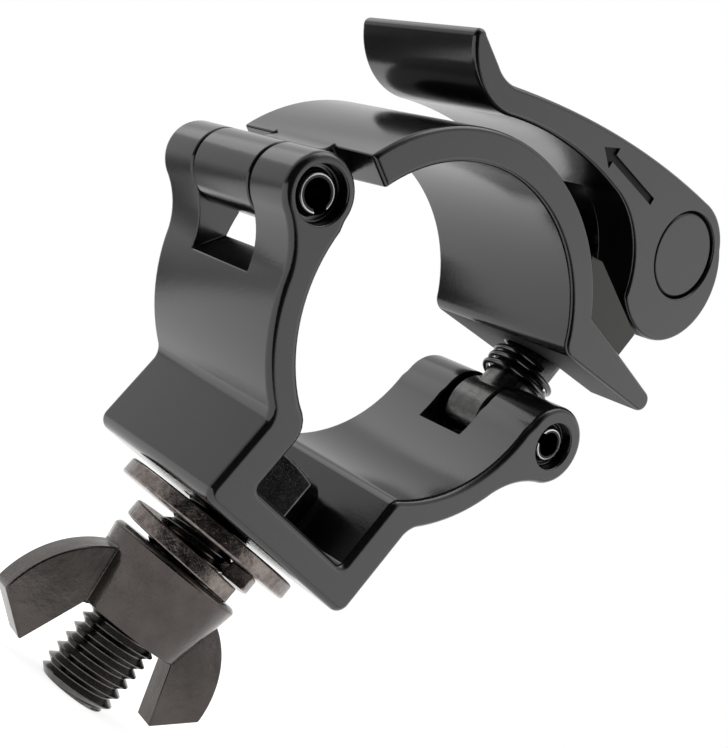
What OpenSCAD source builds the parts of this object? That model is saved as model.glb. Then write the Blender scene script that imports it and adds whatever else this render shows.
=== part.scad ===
// Quick-release pipe clamp with a cam lever, for hanging equipment from a round bar.
// The origin is the centre of the tube bore, +Y is the axis of the tube and +Z is up.
// The fixed lower body carries a hinged upper jaw, a swing bolt with a cam lever,
// and a captive mounting bolt below the tube.

/* [Tube and body] */
// Bore of the closed clamp, for tubes of 48 to 51 mm
bore_d = 50.5; // [46:0.5:56]
// Width of the body and the jaw along the tube
body_w = 34; // [32:1:44]
// Wall of the lower body round the bore
body_wall = 4.6; // [4:0.1:6]
// Wall of the upper jaw round the bore
jaw_wall = 5; // [4.5:0.1:6.5]

/* [Foot] */
// Width of the foot across the tube
foot_w = 33; // [31:0.5:40]
// Distance from the bore centre to the flat base
foot_drop = 40; // [39:0.5:46]
// Thickness of the foot under the bolt head
foot_floor = 5.4; // [4:0.1:7]
// Width of the channel that holds the bolt head
channel_w = 21; // [20:0.1:22]
// Distance of the mounting bolt from the middle, towards the lever
foot_offset = 2; // [0:0.1:3]

/* [Hinge] */
// Distance of the hinge pin from the bore centre along X
hinge_x = 31.2; // [31:0.1:34]
// Height of the hinge pin above the bore centre
hinge_z = -1.6; // [-4:0.1:0]
// Radius of the hinge bosses
hinge_boss_r = 5.5; // [5.2:0.1:6.2]
// Width of the jaw's knuckle between the two lugs
knuckle_w = 15; // [12:0.5:18]

/* [Pins] */
// Diameter of the roll pins
pin_d = 6; // [5:0.1:6.2]
// Wall of the roll pins
pin_wall = 1; // [0.8:0.1:1.4]
// Width of the slit along a roll pin
pin_slit = 1.8; // [1:0.1:2.4]
// Diameter of the counterbore round each pin end
pin_sink_d = 7.9; // [7.4:0.1:8.2]
// Depth of that counterbore
pin_sink = 2.2; // [1:0.1:4]

/* [Swing bolt] */
// Distance of the swing-bolt pin from the bore centre along X
swing_x = 32.2; // [31.8:0.1:35]
// Height of the swing-bolt pin above the bore centre
swing_z = 3.1; // [2:0.1:5]
// Radius of the swing-bolt bosses
swing_boss_r = 6.6; // [6:0.1:7.2]
// Diameter of the swing bolt
swing_d = 10; // [8:0.5:10]
// Width of the eye at the foot of the swing bolt
eye_w = 8.4; // [8:0.2:10]
// Clear width of the slots that the swing bolt passes through
swing_gap = 0.6; // [0.4:0.1:1]

/* [Jaw lip] */
// Reach of the jaw's lip from the bore centre
lip_reach = 44.8; // [42:0.1:50]
// Height of the top of the lip at its tip
lip_top = 23.1; // [22:0.1:26]
// Thickness of the lip's tip
lip_tip = 3.6; // [3:0.1:5]
// Rise of the lip's underside towards its tip, in degrees
lip_under = 13.5; // [8:0.5:16]
// Rise of the lip's top towards its tip, in degrees
lip_slope = 3; // [0:0.5:5]

/* [Cam lever] */
// Height of the cam barrel above the bore centre
barrel_z = 45.2; // [44:0.1:48]
// Diameter of the cam barrel
barrel_d = 15.4; // [13:0.1:15.8]
// Radius of the lever round the barrel
cam_top_r = 10; // [9.7:0.1:11]
// Radius of the cam lobe
lobe_r = 12.4; // [11.5:0.1:13]
// Throw of the cam lobe below the barrel
lobe_throw = 3.4; // [2:0.1:4]
// Width of the lever
lever_w = 27.5; // [26:0.5:32]
// Radius of the lever's long top curve
lever_top_r = 168; // [140:1:200]
// Radius of the lever's long underside curve
lever_under_r = 56.6; // [50:0.2:64]
// Radius of the hollow between the lever's arm and its cam
lever_neck_r = 16; // [14:0.5:18]
// Thickness of the arm under the barrel's centre
lever_root = 6.98; // [6.4:0.01:7.6]
// Depth of the lever's fork behind the barrel's centre
fork_depth = 21; // [20:0.5:22]
// Outer radius of the turned-up tip
tip_r = 10.2; // [9:0.1:12]
// Angle of the turned-up tip from the middle of the underside curve
tip_turn = 124.6; // [122:0.1:130]

/* [Pressure pad] */
// Width of the pad under the cam
pad_w = 27.5; // [24:0.5:32]
// Distance of the pad's thick end from the bore centre
pad_heel = 15.2; // [14:0.1:17]
// Fall of the pad's top towards its open end, in degrees
pad_slope = 6.5; // [4:0.5:8]
// Running clearance between the cam and the pad
cam_gap = 0.35; // [0.15:0.05:0.5]

/* [Spring] */
// Outer diameter of the spring round the swing bolt
spring_d = 13; // [12.6:0.1:15]
// Wire of the spring
spring_wire = 1.3; // [1:0.1:1.4]

/* [Mounting bolt] */
// Thread diameter of the mounting bolt
bolt_d = 12; // [10:1:12]
// Length of the mounting bolt under its head
bolt_l = 37; // [36:1:60]
// Width across the flats of the bolt head
head_af = 18; // [17:0.5:18]
// Height of the bolt head
head_h = 7.3; // [6:0.1:8]
// Turn of the bolt head
head_turn = 38; // [0:1:60]
// Outer diameter of the flat washer
washer_d = 30; // [28:1:38]
// Thickness of the flat washer
washer_t = 2.5; // [1.5:0.1:3]
// Outer diameter of the spring washer
spring_washer_d = 21; // [19:0.5:24]
// Thickness of the spring washer
spring_washer_t = 2.5; // [2:0.1:3]
// Free spread of the spring washer's ends
spring_washer_rise = 2.9; // [0.6:0.1:3.4]

/* [Wing nut] */
// Gap that the loosened wing nut leaves above the flat washer
slack = 0.9; // [0:0.1:3]
// Diameter of the wing nut's hub at its seat
hub_d = 22; // [20:0.5:24]
// Height of the wing nut's hub
hub_h = 11.5; // [10:0.5:14]
// Span over both wings
wing_span = 38; // [36:0.2:46]
// Thickness of each wing
wing_t = 5; // [4:0.1:6]
// Radius of a wing's round outer edge
wing_r = 15.2; // [14:0.1:16]
// Distance of that edge's centre from the nut's seat
wing_drop = 17; // [16:0.1:18]
// Turn of the wings about the bolt
wing_turn = -8; // [-30:1:60]

/* [Hidden] */
$fn = 96;
black = [0.10, 0.10, 0.11];
gunmetal = [0.36, 0.35, 0.34];
pin_steel = [0.55, 0.55, 0.56];
olive = [0.36, 0.37, 0.33];
run = 0.05;             // running clearance of a pin or shaft, on the radius
side_gap = 0.3;         // side clearance of a piece in its slot
through = 100;          // length of a cutter that passes right through
bite = 0.03;            // depth by which a blend runs into the shapes it joins
bore_r = bore_d / 2;
body_r = bore_r + body_wall;
jaw_r = bore_r + jaw_wall;
hinge = [-hinge_x, hinge_z];
swing = [swing_x, swing_z];
cam = [swing_x, barrel_z];
lobe = cam + [0.6, -lobe_throw];
hinge_slot_w = knuckle_w + 2 * side_gap;
swing_slot_w = max(swing_d, eye_w) + swing_gap;
foot_left = foot_offset - foot_w / 2;
foot_right = foot_offset + foot_w / 2;
pin_l = body_w - pin_sink;

// Point where a circle about a meets a circle about b, to the left of the line from a to b when side is 1
function meet(a, ra, b, rb, side) =
    let (v = b - a, d = norm(v), u = v / d, k = (d * d + ra * ra - rb * rb) / (2 * d))
    a + u * k + side * sqrt(max(0, ra * ra - k * k)) * [-u[1], u[0]];
function unit(v) = v / norm(v);
function polar(r, a) = r * [cos(a), sin(a)];

module disc(c, r) {
    translate(c) circle(r);
}
// Outlines in the XZ plane, each extruded along the tube and centred on it
module along_y(w) {
    for (i = [0:$children - 1])
        rotate([90, 0, 0]) translate([0, 0, -w / 2]) linear_extrude(w) children(i);
}
module pin_hole(c, r, w) {
    translate([c[0], 0, c[1]]) rotate([90, 0, 0]) cylinder(r = r, h = w, center = true);
}
// Hollow corner of radius r between two round outlines
module fillet_round(a, ra, b, rb, r, side) {
    c = meet(a, ra + r - bite, b, rb + r - bite, side);
    difference() {
        polygon([a, c, b]);
        disc(c, r);
    }
}
// Hollow corner of radius r between the body's round outline and a straight side of the foot
module fillet_side(x, r, side) {
    c = [x + side * (r - bite), -sqrt(pow(body_r + r - bite, 2) - pow(x + side * (r - bite), 2))];
    difference() {
        polygon([[0, 0], c, [x, c[1]]]);
        disc(c, r);
    }
}
// Straight run from a boss to the bore
module boss_blend(c, r, side) {
    u = unit(c);
    lean = acos(min(1, (r + bore_r) / norm(c)));
    n = cos(lean) * u + side * sin(lean) * [-u[1], u[0]];
    polygon([c, c - (r - bite) * n, (bore_r - bite) * n, (bore_r + body_wall / 2) * n]);
}
module sector(r, from, to) {
    far = 2 * r;
    mid = (from + to) / 2;
    intersection() {
        circle(r);
        polygon([[0, 0], polar(far, from), polar(far, (from + mid) / 2), polar(far, mid),
            polar(far, (mid + to) / 2), polar(far, to)]);
    }
}

// Lower body: two arms round the bore, a boss at each end and a channelled foot
module foot_outline() {
    corner = 2;
    difference() {
        translate([foot_left, -foot_drop]) square([foot_w, foot_drop - 20]);
        translate([foot_left, -foot_drop]) corner_cut(corner);
        translate([foot_right, -foot_drop]) mirror([1, 0]) corner_cut(corner);
    }
}
module corner_cut(r) {
    difference() {
        translate([-1, -1]) square(r + 1);
        translate([r, r]) circle(r);
    }
}
module channel_outline() {
    corner = 1;
    left = foot_offset - channel_w / 2;
    floor_z = foot_floor - foot_drop;
    translate([left, floor_z + corner]) square([channel_w, -floor_z]);
    translate([left + corner, floor_z]) square([channel_w - 2 * corner, 2 * corner]);
    disc([left + corner, floor_z + corner], corner);
    disc([left + channel_w - corner, floor_z + corner], corner);
}
// Gap for the jaw's knuckle, with a steep floor that leaves a window beside the knuckle
module hinge_gap_outline() {
    inner = [-23.8, -8.2];
    outer = [-26.6, -13.5];
    reach = inner + 2 * (inner - outer);
    polygon([reach, outer + (outer - inner), [-60, -24], [-60, 30], [-10, 30]]);
}
module clamp_body() {
    left_end = atan2(hinge[1], hinge[0]);
    right_end = atan2(swing[1], swing[0]);
    color(black) difference() {
        along_y(body_w) {
            sector(body_r, left_end < 0 ? left_end : left_end - 360, right_end);
            disc(hinge, hinge_boss_r);
            disc(swing, swing_boss_r);
            fillet_round([0, 0], body_r, hinge, hinge_boss_r, 12, 1);
            fillet_round([0, 0], body_r, swing, swing_boss_r, 15, -1);
            boss_blend(hinge, hinge_boss_r, 1);
            boss_blend(swing, swing_boss_r, -1);
            fillet_side(foot_left, 3, -1);
            fillet_side(foot_right, 4, 1);
            foot_outline();
        }
        pin_hole([0, 0], bore_r, through);
        along_y(through) channel_outline();
        along_y(hinge_slot_w) hinge_gap_outline();
        along_y(swing_slot_w) translate([bore_r - 8, swing_z - 7.5]) square(through);
        pin_hole(hinge, pin_d / 2, through);
        pin_hole(swing, pin_d / 2, through);
        for (c = [hinge, swing], s = [-1, 1])
            translate([0, s * (body_w / 2 + 5 - pin_sink), 0]) pin_hole(c, pin_sink_d / 2, 10);
        translate([foot_offset, 0, -foot_drop - 1]) cylinder(d = bolt_d + 0.5, h = foot_floor + 2);
    }
}

// Upper jaw: half ring, knuckle on the hinge pin and slotted lip under the cam
lip_c = [lip_reach - lip_tip / 2, lip_top - lip_tip / 2];
lip_under_end = lip_c + polar(lip_tip / 2, lip_under - 90);
lip_top_end = lip_c + polar(lip_tip / 2, lip_slope + 90);
function lip_top_at(x) = lip_top_end[1] - (lip_top_end[0] - x) * tan(lip_slope);
function lip_under_at(x) = lip_under_end[1] - (lip_under_end[0] - x) * tan(lip_under);
module jaw_outline() {
    heel = 166;
    toe = 35;
    root_x = bore_r * cos(toe);
    difference() {
        union() {
            sector(jaw_r, toe, heel);
            disc(lip_c, lip_tip / 2);
            polygon([[root_x, lip_under_at(root_x)], lip_under_end, lip_c, lip_top_end,
                [root_x - 4, lip_top_at(root_x - 4)]]);
        }
        circle(bore_r);
    }
}
module knuckle_outline() {
    difference() {
        union() {
            sector(jaw_r, 150, 180 + 4);
            disc(hinge, hinge_boss_r);
            fillet_round([0, 0], jaw_r, hinge, hinge_boss_r, 8, -1);
        }
        circle(bore_r);
    }
}
module bolt_slot() {
    w = swing_slot_w;
    translate([swing_x - 0.5, 0, 0]) cylinder(d = w, h = through);
    translate([swing_x - 0.5, -w / 2, 0]) cube([through, w, through]);
}
module upper_jaw() {
    color(black) difference() {
        union() {
            along_y(body_w) jaw_outline();
            along_y(knuckle_w) knuckle_outline();
        }
        bolt_slot();
        pin_hole(hinge, pin_d / 2 + run, through);
    }
}

// Pressure pad: wedge between the jaw's ring and lip that the cam bears on
pad_end = [swing_x + 2.5, lobe[1] - (lobe_r + cam_gap) / cos(pad_slope)
    - (swing_x + 2.5 - lobe[0]) * tan(pad_slope)];
module pad_outline() {
    seat = lip_top_at(pad_end[0]);
    heel = [pad_heel, pad_end[1] + (pad_end[0] - pad_heel) * tan(pad_slope)];
    difference() {
        polygon([[pad_end[0], seat], pad_end, heel + [2.6, -0.3], heel + [0, -1.5], [heel[0] - 0.8, seat]]);
        circle(jaw_r + 2 * run);
    }
}
module pressure_pad() {
    color(olive) difference() {
        along_y(pad_w) pad_outline();
        bolt_slot();
    }
}

// Roll pin: rolled spring-steel tube with a slit and rounded ends
module roll_pin(c, slit_turn) {
    chamfer = 0.4;
    r = pin_d / 2;
    translate([c[0], 0, c[1]]) rotate([90, 0, 0]) difference() {
        rotate_extrude() polygon([[r - pin_wall, -pin_l / 2], [r - chamfer, -pin_l / 2],
            [r, chamfer - pin_l / 2], [r, pin_l / 2 - chamfer], [r - chamfer, pin_l / 2],
            [r - pin_wall, pin_l / 2]]);
        rotate([0, 0, slit_turn]) translate([0, -pin_slit / 2, -pin_l]) cube([pin_d, pin_slit, 2 * pin_l]);
    }
}
module hinge_pin() {
    color(pin_steel) roll_pin(hinge, -31);
}
module swing_bolt_pin() {
    color(pin_steel) roll_pin(swing, 189);
}

// Swing bolt: eye on its pin and a shank up through the jaw into the cam barrel
eye_r = 6.2;
swing_top = barrel_z + cam_top_r - 1.4;
module swing_bolt() {
    chamfer = 1;
    color(gunmetal) difference() {
        union() {
            pin_hole(swing, eye_r, eye_w);
            translate([swing_x, 0, swing_z])
                cylinder(d = swing_d, h = swing_top - swing_z - chamfer);
            translate([swing_x, 0, swing_top - chamfer])
                cylinder(d1 = swing_d, d2 = swing_d - 2 * chamfer, h = chamfer);
        }
        pin_hole(swing, pin_d / 2 + run, through);
    }
}

// Spring round the swing bolt, as the sleeve that its coils fill
spring_foot = swing_z + swing_boss_r + 0.2;
spring_head = lip_under_at(swing_x - spring_d / 2) - 0.6;
module swing_spring() {
    color(pin_steel) translate([swing_x, 0, spring_foot]) difference() {
        cylinder(d = spring_d, h = spring_head - spring_foot);
        translate([0, 0, -1]) cylinder(d = spring_d - 2 * spring_wire, h = through);
    }
}

// Cam lever: long bent handle that ends in a fork with two cam cheeks round the barrel
lever_top_turn = 106;
lever_top_c = cam + polar(lever_top_r - cam_top_r + bite, lever_top_turn - 180);
lever_under_c = cam + polar(lever_under_r + lever_root, -103.18);
neck_dir = 97;
neck_c = lever_under_c + polar(lever_under_r - lever_neck_r + bite, neck_dir);
tip_c = lever_under_c + polar(lever_under_r + tip_r, tip_turn);
tip_over_r = norm(tip_c - lever_top_c) - lever_top_r;
tip_over_dir = atan2(lever_top_c[1] - tip_c[1], lever_top_c[0] - tip_c[0]);
module arm_outline() {
    start_over = tip_c + polar(tip_over_r, tip_over_dir - 14);
    start_under = tip_c + polar(tip_r, tip_turn + 180);
    neck = lever_under_c + polar(lever_under_r, neck_dir);
    intersection() {
        disc(lever_top_c, lever_top_r);
        polygon([tip_c, start_over, start_under, start_under - [0, 4], neck - [0, 4], neck_c, lobe, cam,
            cam + polar(20, lever_top_turn), tip_c + [10, 30]]);
    }
}
// Turned-up tip: it follows two arcs, then runs out flat on top to a round end
tip_end_r = 1.1;
tip_flat = 261;
tip_end_dir = tip_flat - acos((tip_over_r + tip_end_r) / (tip_r - tip_end_r));
tip_end_c = tip_c + polar(tip_r - tip_end_r, tip_end_dir);
module tip_outline() {
    far = 2 * tip_r;
    difference() {
        intersection() {
            disc(tip_c, tip_r + bite);
            polygon([tip_c, tip_c + polar(tip_over_r, tip_flat),
                tip_end_c - polar(tip_end_r, tip_flat), tip_end_c,
                tip_c + polar(far, tip_end_dir), tip_c + polar(far, tip_flat), tip_c + polar(far, 290),
                tip_c + polar(far, tip_turn + 190), tip_c + polar(tip_over_r, tip_over_dir)]);
        }
        disc(tip_c, tip_over_r + bite);
    }
}
module cam_lever() {
    color(black) difference() {
        union() {
            difference() {
                along_y(lever_w) {
                    arm_outline();
                    disc(cam, cam_top_r);
                    disc(lobe, lobe_r);
                }
                along_y(through) {
                    translate(lever_under_c) sector(lever_under_r, neck_dir, 150);
                    disc(neck_c, lever_neck_r);
                }
            }
            along_y(lever_w) {
                tip_outline();
                disc(tip_end_c, tip_end_r + 2 * bite);
            }
        }
        translate([cam[0] - fork_depth, -swing_slot_w / 2, 0]) cube([through, swing_slot_w, through]);
        pin_hole(cam, barrel_d / 2 + run, through);
    }
}

// Cam barrel: cross nut that the swing bolt screws into and the lever turns on
module cam_barrel_nut() {
    chamfer = 0.6;
    r = barrel_d / 2;
    l = lever_w - 0.6;
    color(black) difference() {
        translate([cam[0], 0, cam[1]]) rotate([90, 0, 0]) rotate_extrude() polygon([[0, -l / 2],
            [r - chamfer, -l / 2], [r, chamfer - l / 2], [r, l / 2 - chamfer],
            [r - chamfer, l / 2], [0, l / 2]]);
        translate([cam[0], 0, 0]) cylinder(d = swing_d, h = through);
    }
}

// Mounting bolt: hexagon bolt with its head in the foot's channel
module mounting_bolt() {
    chamfer = 1;
    color(gunmetal) translate([foot_offset, 0, foot_floor - foot_drop]) {
        intersection() {
            rotate([0, 0, head_turn]) cylinder(d = head_af / cos(30), h = head_h, $fn = 6);
            cylinder(r1 = head_af * 0.49 + 2 * head_h, r2 = head_af * 0.49, h = head_h);
        }
        translate([0, 0, chamfer - bolt_l]) cylinder(d = bolt_d, h = bolt_l - chamfer);
        translate([0, 0, -bolt_l]) cylinder(d1 = bolt_d - 2 * chamfer, d2 = bolt_d, h = chamfer);
    }
}
module flat_washer() {
    color(gunmetal) translate([foot_offset, 0, -foot_drop - slack - washer_t]) difference() {
        cylinder(d = washer_d, h = washer_t);
        translate([0, 0, -1]) cylinder(d = bolt_d + 1, h = washer_t + 2);
    }
}

// Spring washer: one turn of square wire, sprung open
nut_seat = -foot_drop - slack - washer_t - spring_washer_t - spring_washer_rise;
module spring_washer() {
    steps = 48;
    inner_r = bolt_d / 2 + 0.3;
    outer_r = spring_washer_d / 2;
    section = [[inner_r, 0], [outer_r, 0], [outer_r, spring_washer_t], [inner_r, spring_washer_t]];
    points = [for (i = [0:steps], p = section) let (a = -70 - i * 352 / steps)
        [p[0] * cos(a), p[0] * sin(a), p[1] + spring_washer_rise * i / steps]];
    sides = [for (i = [0:steps - 1], k = [0:3]) let (a = 4 * i + k, b = 4 * i + (k + 1) % 4)
        each [[a, b, b + 4], [a, b + 4, a + 4]]];
    last = 4 * steps;
    color(gunmetal) translate([foot_offset, 0, nut_seat])
        polyhedron(points, concat([[3, 2, 1, 0], [last, last + 1, last + 2, last + 3]], sides));
}

// Wing nut: conical hub with two round-topped wings that lean away from the seat
module wing() {
    root = bolt_d / 3;
    reach = wing_span / 2;
    top_c = [reach - wing_r, -wing_drop];
    along_y(wing_t) intersection() {
        disc(top_c, wing_r);
        polygon([[root, 0], [through, 0], [through, 0.8 - wing_drop], [reach, 0.8 - wing_drop],
            [reach - 6.5, -wing_drop - 3.7], [root + 4.4, 0.6 - hub_h], [root, 2 - hub_h]]);
    }
}
module wing_nut() {
    edge = 0.6;
    color(gunmetal) translate([foot_offset, 0, nut_seat]) rotate([0, 0, wing_turn]) difference() {
        union() {
            translate([0, 0, -edge]) cylinder(d1 = hub_d, d2 = hub_d - 2 * edge, h = edge);
            translate([0, 0, -hub_h]) cylinder(d1 = hub_d - 4, d2 = hub_d, h = hub_h - edge);
            for (turn = [0, 180]) rotate([0, 0, turn]) wing();
        }
        translate([0, 0, -through / 2]) cylinder(d = bolt_d + 2 * run, h = through);
    }
}

clamp_body();
upper_jaw();
pressure_pad();
hinge_pin();
swing_bolt();
swing_bolt_pin();
swing_spring();
cam_lever();
cam_barrel_nut();
mounting_bolt();
flat_washer();
spring_washer();
wing_nut();
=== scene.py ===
# %% [markdown]
# # A quick-release pipe clamp
# Stage lamps hang from round bars by clamps like this one. An upper jaw closes over the bar,
# a swing bolt holds it shut, and a cam lever on that bolt pulls everything tight.
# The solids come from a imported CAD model. This lesson gives them their rounded edges, threads,
# spring coils and finishes, and then lights and frames them.

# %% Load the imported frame
import math
from functools import partial
from types import SimpleNamespace
import bpy
import bmesh
from mathutils import Matrix, Vector


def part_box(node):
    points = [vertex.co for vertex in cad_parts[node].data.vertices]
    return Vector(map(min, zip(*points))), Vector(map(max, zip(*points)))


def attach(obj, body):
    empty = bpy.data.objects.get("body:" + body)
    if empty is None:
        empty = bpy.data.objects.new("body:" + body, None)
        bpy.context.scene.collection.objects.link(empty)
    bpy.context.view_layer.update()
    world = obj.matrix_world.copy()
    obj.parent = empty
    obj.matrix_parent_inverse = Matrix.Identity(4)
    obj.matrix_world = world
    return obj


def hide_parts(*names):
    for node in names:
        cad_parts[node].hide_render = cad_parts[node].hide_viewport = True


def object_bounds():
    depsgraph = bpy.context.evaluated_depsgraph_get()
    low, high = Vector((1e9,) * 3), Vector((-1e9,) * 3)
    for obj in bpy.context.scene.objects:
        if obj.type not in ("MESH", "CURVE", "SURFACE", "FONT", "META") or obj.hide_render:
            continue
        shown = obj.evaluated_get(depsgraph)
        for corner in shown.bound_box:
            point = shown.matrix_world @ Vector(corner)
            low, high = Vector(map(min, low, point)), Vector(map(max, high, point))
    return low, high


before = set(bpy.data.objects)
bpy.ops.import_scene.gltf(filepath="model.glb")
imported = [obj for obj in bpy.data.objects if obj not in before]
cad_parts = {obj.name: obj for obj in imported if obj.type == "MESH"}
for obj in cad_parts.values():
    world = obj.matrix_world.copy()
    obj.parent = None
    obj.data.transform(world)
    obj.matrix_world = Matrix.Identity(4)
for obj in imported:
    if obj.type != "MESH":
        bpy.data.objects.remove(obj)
scene = bpy.context.scene
cad_low, cad_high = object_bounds()
MM = 0.001
print("the clamp measures", [round((b - a) / MM, 1) for a, b in zip(cad_low, cad_high)], "mm")

# %% [markdown]
# ## The camera
# A camera is a place, three directions and a lens. The clamp is seen from in front, from the
# hinge side and slightly from below, and the camera is rolled. Three angles could say that too,
# but directions written out as the rows of a turn matrix are easier to check: each one is where
# the right, the bottom and the middle of the picture point.

# %% The camera
PICTURE_W, PICTURE_H = 728, 748
RIGHT = Vector((0.47782, -0.628372, 0.613871))
DOWN = Vector((0.588593, -0.289737, -0.754726))
AHEAD = Vector((0.652109, 0.721943, 0.231413))
EYE = Vector((-106.1, -143.27, -46.14)) * MM
FOCAL_PIXELS = 1179.8
CENTRE_X, CENTRE_Y = 450.0, 400.0
SENSOR_MM = 36.0
NEAREST, FURTHEST = 0.01, 20

camera_data = bpy.data.cameras.new("camera")
camera_data.sensor_width = SENSOR_MM
camera_data.lens = FOCAL_PIXELS * camera_data.sensor_width / PICTURE_H
camera_data.shift_x = (PICTURE_W / 2 - CENTRE_X) / PICTURE_H
camera_data.shift_y = (CENTRE_Y - PICTURE_H / 2) / PICTURE_H
camera_data.clip_start = NEAREST
camera_data.clip_end = FURTHEST
camera = bpy.data.objects.new("camera", camera_data)
turn = Matrix((RIGHT, -DOWN, -AHEAD)).transposed().to_4x4()
camera.matrix_world = Matrix.Translation(EYE) @ turn
scene.collection.objects.link(camera)
scene.camera = camera
scene.view_settings.view_transform = "Standard"
print("lens", round(camera_data.lens, 1), "mm")

# %% [markdown]
# ## Node trees in a few words
# The world, the floor, every finish, the threads and the spring are all node trees. Nodes can be
# placed by hand in the editor, but a script that names each input says more and gives the same tree
# every time. One helper adds a node and fills its inputs, with a fixed value or with a link.

# %% Helpers for node trees
NODE_WIDTH, NODE_HEIGHT, NODES_IN_A_ROW = 220, 300, 8


def plug(tree, socket, value):
    """Links a socket to another node's output, or gives it a fixed value."""
    if isinstance(value, bpy.types.NodeSocket):
        tree.links.new(value, socket)
    else:
        socket.default_value = value


def add_node(tree, kind, inputs=(), **settings):
    """Adds a node; the inputs are given by name or by number. Nodes lie in rows, in order."""
    row, column = divmod(len(tree.nodes), NODES_IN_A_ROW)
    node = tree.nodes.new(kind)
    node.location = (column * NODE_WIDTH, -row * NODE_HEIGHT)
    for name, value in settings.items():
        setattr(node, name, value)
    for name, value in dict(inputs).items():
        plug(tree, node.inputs[name], value)
    return node


def math_node(tree, operation, *values, clamp=False):
    """Arithmetic on sockets and numbers, such as ADD, or MULTIPLY_ADD for first * second + third."""
    node = add_node(tree, "ShaderNodeMath", enumerate(values), operation=operation, use_clamp=clamp)
    return node.outputs[0]


def fade(tree, value, start, end, low, high, curve="LINEAR"):
    """Runs from low to high while the value runs from start to end, and stays level beyond them."""
    limits = {"Value": value, "From Min": start, "From Max": end, "To Min": low, "To Max": high}
    return add_node(tree, "ShaderNodeMapRange", limits, interpolation_type=curve).outputs[0]


# %% [markdown]
# ## The room
# Dark glossy metal shows what stands around it, so the room is most of the look. A plain white room
# would make the clamp one flat grey. Here the side behind the camera is dark, which draws thin black
# lines on the rounded edges, and the room darkens again well below the horizon. The light grows a
# little from the hinge side to the lever side. The camera itself sees plain white.

# %% World
WHITE = (1, 1, 1, 1)
ROOM_LIGHT, ROOM_DARK = 0.85, 0.02
DARK_SIDE = Vector((-0.66, -0.72, -0.15))
DARK_STARTS, DARK_FULL = 0.35, 0.75
UNDER_LIGHT, UNDER_FULL, UNDER_STARTS = 0.1, -0.50, -0.20
LEFT_LIGHT, RIGHT_LIGHT, SIDE_REACH = 0.97, 1.12, 0.6

world = bpy.data.worlds.new("white_room")
scene.world = world
world.use_nodes = True
room = world.node_tree
room.nodes.clear()
direction = add_node(room, "ShaderNodeTexCoord").outputs["Generated"]
to_dark = add_node(room, "ShaderNodeVectorMath", {0: direction, 1: DARK_SIDE.normalized()},
                   operation="DOT_PRODUCT")
light = fade(room, to_dark.outputs["Value"], DARK_STARTS, DARK_FULL, ROOM_LIGHT, ROOM_DARK,
             "SMOOTHSTEP")
parts = add_node(room, "ShaderNodeSeparateXYZ", {0: direction}).outputs
above = fade(room, parts["Z"], UNDER_FULL, UNDER_STARTS, UNDER_LIGHT, 1.0, "SMOOTHSTEP")
across = fade(room, parts["X"], -SIDE_REACH, SIDE_REACH, LEFT_LIGHT, RIGHT_LIGHT)
strength = math_node(room, "MULTIPLY", math_node(room, "MULTIPLY", light, above), across)
for_clamp = add_node(room, "ShaderNodeBackground", {"Color": WHITE, "Strength": strength})
for_camera = add_node(room, "ShaderNodeBackground", {"Color": WHITE, "Strength": 1.0})
camera_ray = add_node(room, "ShaderNodeLightPath").outputs["Is Camera Ray"]
shown = add_node(room, "ShaderNodeMixShader",
                 {0: camera_ray, 1: for_clamp.outputs[0], 2: for_camera.outputs[0]})
add_node(room, "ShaderNodeOutputWorld", {0: shown.outputs[0]})
print("world with", len(room.nodes), "nodes, light", ROOM_DARK, "to", ROOM_LIGHT)

# %% [markdown]
# The clamp stands on a table of pale paper. Its shadow has to stay, so the paper is matt and takes
# light like any surface, and a glow that only the camera and reflections see lifts it to white. A
# white backdrop with no surface would be simpler, but would lose the shadow. The table ends close
# in front of the clamp and its far left corner is missing: surfaces that look that way reflect the
# darkness below the horizon, as black metal near the edge of a real table does.

# %% Floor
TABLE_LEFT, TABLE_FRONT, TABLE_FAR, TABLE_STEP = -0.16, -0.09, 4.0, 0.12
PAPER_GREY = (0.55, 0.55, 0.55, 1)
PAPER_GLOW = 0.75

table = [(TABLE_LEFT, TABLE_FRONT), (TABLE_FAR, TABLE_FRONT), (TABLE_FAR, TABLE_FAR),
         (0, TABLE_FAR), (0, TABLE_STEP), (TABLE_LEFT, TABLE_STEP)]
floor_mesh = bpy.data.meshes.new("floor")
floor_mesh.from_pydata([(x, y, cad_low.z) for x, y in table], [], [range(len(table))])
floor = bpy.data.objects.new("floor", floor_mesh)
scene.collection.objects.link(floor)
paper = bpy.data.materials.new("pale_paper")
paper.use_nodes = True
tree = paper.node_tree
tree.nodes.clear()
rays = add_node(tree, "ShaderNodeLightPath").outputs
seen = math_node(tree, "MAXIMUM", rays["Is Camera Ray"], rays["Is Glossy Ray"])
seen = math_node(tree, "MAXIMUM", seen, rays["Is Transmission Ray"])
glow = math_node(tree, "MULTIPLY", seen, PAPER_GLOW)
matt = add_node(tree, "ShaderNodeBsdfDiffuse", {"Color": PAPER_GREY})
glowing = add_node(tree, "ShaderNodeEmission", {"Color": WHITE, "Strength": glow})
both = add_node(tree, "ShaderNodeAddShader", {0: matt.outputs[0], 1: glowing.outputs[0]})
add_node(tree, "ShaderNodeOutputMaterial", {0: both.outputs[0]})
floor_mesh.materials.append(paper)
print("floor at z", round(cad_low.z / MM, 1), "mm, with", len(table), "corners")

# %% [markdown]
# Three large, weak area lamps model the clamp: one from above, one from behind on the hinge side
# and one from in front on the lever side. Small strong lamps would leave hard spots on glossy
# metal; large ones leave long soft gradients.

# %% Lamps
LAMPS = {
    "top_lamp": dict(offset=(-0.15, -0.1, 0.75), width=0.5, height=0.5, watts=1.4),
    "back_lamp": dict(offset=(-0.46, 0.56, 0.40), width=0.6, height=0.5, watts=0.8),
    "front_lamp": dict(offset=(0.52, -0.60, 0.22), width=0.6, height=0.6, watts=0.7)}


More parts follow.
